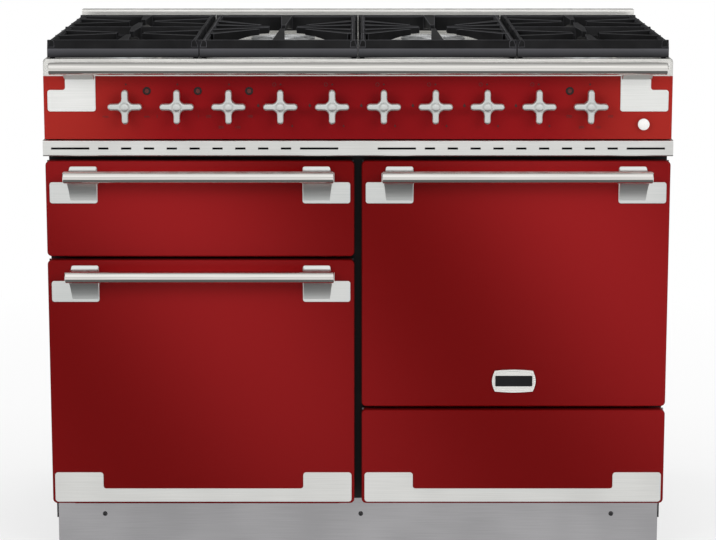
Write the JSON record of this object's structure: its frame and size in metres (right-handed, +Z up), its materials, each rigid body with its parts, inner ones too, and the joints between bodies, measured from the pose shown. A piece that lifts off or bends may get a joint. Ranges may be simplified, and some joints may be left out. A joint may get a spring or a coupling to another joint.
{
  "type": "range cooker",
  "caption": "Wide range cooker with a gas hob under cast pan supports, cross-shaped knobs, drop-down grill and oven doors with bar handles, and a storage drawer.",
  "frame": {"origin": "on the floor under the middle of the cooker's overall box", "axes": "+X to the right seen from the front, +Y from the front to the back, +Z up"},
  "size_m": [1.104, 0.653, 0.94],
  "materials": {
    "red_enamel": "gloss vitreous enamel",
    "stainless_steel": "brushed",
    "satin_chrome": "satin",
    "black_enamel": "satin enamel",
    "cavity_enamel": "speckled vitreous enamel",
    "zinc_coated_steel": "zinc coated",
    "bright_wire": "bright",
    "cast_iron": "matt enamelled",
    "cap_enamel": "satin enamel",
    "burner_aluminium": "cast and turned",
    "igniter_ceramic": "unglazed",
    "neon_lens": "gloss",
    "seal_rubber": "woven and silicone coated",
    "foot_plastic": "moulded",
    "brass": "turned",
    "element_sheath": "oxidised",
    "white_button": "gloss"
  },
  "bodies": {
    "carcase": {"base_tray": "zinc_coated_steel", "levelling_feet": "foot_plastic", "plinth": "stainless_steel", "side_panel_left": "black_enamel", "side_panel_right": "black_enamel", "rear_panel": "zinc_coated_steel", "gas_manifold": "brass", "face_frame": "black_enamel", "grill_liner": "cavity_enamel", "left_oven_liner": "cavity_enamel", "right_oven_liner": "cavity_enamel", "grill_element": "element_sheath", "fan_motors": "zinc_coated_steel", "fan_guards": "bright_wire", "shelf_ladders": "bright_wire", "drawer_runners": "zinc_coated_steel", "control_fascia": "red_enamel", "vent_trim": "stainless_steel", "hob_top": "stainless_steel", "hob_rail": "stainless_steel", "burner_heads": "burner_aluminium", "burner_caps": "cap_enamel", "igniters": "igniter_ceramic", "indicator_lenses": "neon_lens", "door_hinges": "zinc_coated_steel", "door_seals": "seal_rubber"},
    "grill_door": {"grill_door_panel": "red_enamel", "grill_door_inner": "cavity_enamel", "grill_door_handle": "stainless_steel"},
    "left_oven_door": {"left_door_panel": "red_enamel", "left_door_inner": "cavity_enamel", "left_door_handle": "stainless_steel", "left_door_trim": "stainless_steel"},
    "right_oven_door": {"right_door_panel": "red_enamel", "right_door_inner": "cavity_enamel", "right_door_handle": "stainless_steel", "badge_plate": "stainless_steel"},
    "storage_drawer": {"drawer_front": "red_enamel", "drawer_box": "zinc_coated_steel", "drawer_trim": "stainless_steel"},
    "left_shelves": {"left_oven_shelves": "bright_wire"},
    "right_shelves": {"right_oven_shelves": "bright_wire"},
    "grill_tray": {"grill_pan": "cavity_enamel"},
    "left_fan_wheel": {"left_fan": "bright_wire"},
    "right_fan_wheel": {"right_fan": "bright_wire"},
    "light_push": {"light_button": "white_button"},
    "support_1": {"pan_support_1": "cast_iron"},
    "support_2": {"pan_support_2": "cast_iron"},
    "support_3": {"pan_support_3": "cast_iron"},
    "support_4": {"pan_support_4": "cast_iron"},
    "control_1": {"knob_1": "satin_chrome"},
    "control_2": {"knob_2": "satin_chrome"},
    "control_3": {"knob_3": "satin_chrome"},
    "control_4": {"knob_4": "satin_chrome"},
    "control_5": {"knob_5": "satin_chrome"},
    "control_6": {"knob_6": "satin_chrome"},
    "control_7": {"knob_7": "satin_chrome"},
    "control_8": {"knob_8": "satin_chrome"},
    "control_9": {"knob_9": "satin_chrome"},
    "control_10": {"knob_10": "satin_chrome"}
  },
  "joints": [
    {"name": "support_1_lift", "type": "slide", "parent": "carcase", "child": "support_1", "axis": [0, 0, 1], "range_m": [0, 0.06]},
    {"name": "support_2_lift", "type": "slide", "parent": "carcase", "child": "support_2", "axis": [0, 0, 1], "range_m": [0, 0.06]},
    {"name": "support_3_lift", "type": "slide", "parent": "carcase", "child": "support_3", "axis": [0, 0, 1], "range_m": [0, 0.06]},
    {"name": "support_4_lift", "type": "slide", "parent": "carcase", "child": "support_4", "axis": [0, 0, 1], "range_m": [0, 0.06]},
    {"name": "knob_1_turn", "type": "hinge", "parent": "carcase", "child": "control_1", "pos_m": [-0.405, -0.2935, 0.82139], "axis": [0, 1, 0], "range_deg": [0, 270]},
    {"name": "knob_2_turn", "type": "hinge", "parent": "carcase", "child": "control_2", "pos_m": [-0.315, -0.2935, 0.82139], "axis": [0, 1, 0], "range_deg": [0, 315]},
    {"name": "knob_3_turn", "type": "hinge", "parent": "carcase", "child": "control_3", "pos_m": [-0.225, -0.2935, 0.82139], "axis": [0, 1, 0], "range_deg": [0, 270]},
    {"name": "knob_4_turn", "type": "hinge", "parent": "carcase", "child": "control_4", "pos_m": [-0.135, -0.2935, 0.82139], "axis": [0, -1, 0], "range_deg": [0, 210]},
    {"name": "knob_5_turn", "type": "hinge", "parent": "carcase", "child": "control_5", "pos_m": [-0.045, -0.2935, 0.82139], "axis": [0, -1, 0], "range_deg": [0, 210]},
    {"name": "knob_6_turn", "type": "hinge", "parent": "carcase", "child": "control_6", "pos_m": [0.045, -0.2935, 0.82139], "axis": [0, -1, 0], "range_deg": [0, 210]},
    {"name": "knob_7_turn", "type": "hinge", "parent": "carcase", "child": "control_7", "pos_m": [0.135, -0.2935, 0.82139], "axis": [0, -1, 0], "range_deg": [0, 210]},
    {"name": "knob_8_turn", "type": "hinge", "parent": "carcase", "child": "control_8", "pos_m": [0.225, -0.2935, 0.82139], "axis": [0, -1, 0], "range_deg": [0, 210]},
    {"name": "knob_9_turn", "type": "hinge", "parent": "carcase", "child": "control_9", "pos_m": [0.315, -0.2935, 0.82139], "axis": [0, -1, 0], "range_deg": [0, 210]},
    {"name": "knob_10_turn", "type": "hinge", "parent": "carcase", "child": "control_10", "pos_m": [0.405, -0.2935, 0.82139], "axis": [0, 1, 0], "range_deg": [0, 270]},
    {"name": "light_button_press", "type": "slide", "parent": "carcase", "child": "light_push", "axis": [0, 1, 0], "range_m": [0, 0.003], "stiffness_N_per_m": 300, "springref_m": -0.001},
    {"name": "grill_door_drop", "type": "hinge", "parent": "carcase", "child": "grill_door", "pos_m": [-0.27775, -0.2645, 0.565], "axis": [1, 0, 0], "range_deg": [0, 90], "stiffness_Nm_per_rad": 2, "springref_deg": -28.65},
    {"name": "left_oven_door_drop", "type": "hinge", "parent": "carcase", "child": "left_oven_door", "pos_m": [-0.27775, -0.2645, 0.112], "axis": [1, 0, 0], "range_deg": [0, 90], "stiffness_Nm_per_rad": 9, "springref_deg": -22.92},
    {"name": "right_oven_door_drop", "type": "hinge", "parent": "carcase", "child": "right_oven_door", "pos_m": [0.27775, -0.2645, 0.292], "axis": [1, 0, 0], "range_deg": [0, 90], "stiffness_Nm_per_rad": 9, "springref_deg": -22.92},
    {"name": "drawer_pull", "type": "slide", "parent": "carcase", "child": "storage_drawer", "axis": [0, -1, 0], "range_m": [0, 0.33]},
    {"name": "left_shelves_out", "type": "slide", "parent": "carcase", "child": "left_shelves", "axis": [0, -1, 0], "range_m": [0, 0.2]},
    {"name": "right_shelves_out", "type": "slide", "parent": "carcase", "child": "right_shelves", "axis": [0, -1, 0], "range_m": [0, 0.2]},
    {"name": "grill_pan_out", "type": "slide", "parent": "carcase", "child": "grill_tray", "axis": [0, -1, 0], "range_m": [0, 0.13]},
    {"name": "left_fan_spin", "type": "hinge", "parent": "carcase", "child": "left_fan_wheel", "pos_m": [-0.27775, 0.1595, 0.325], "axis": [0, 1, 0], "continuous": true},
    {"name": "right_fan_spin", "type": "hinge", "parent": "carcase", "child": "right_fan_wheel", "pos_m": [0.27775, 0.1595, 0.505], "axis": [0, 1, 0], "continuous": true}
  ],
  "couplings": [
    {"joint": "left_shelves_out", "follows": "left_oven_door_drop", "m_per_rad": 0.12732},
    {"joint": "right_shelves_out", "follows": "right_oven_door_drop", "m_per_rad": 0.12732},
    {"joint": "grill_pan_out", "follows": "grill_door_drop", "m_per_rad": 0.08276}
  ]
}
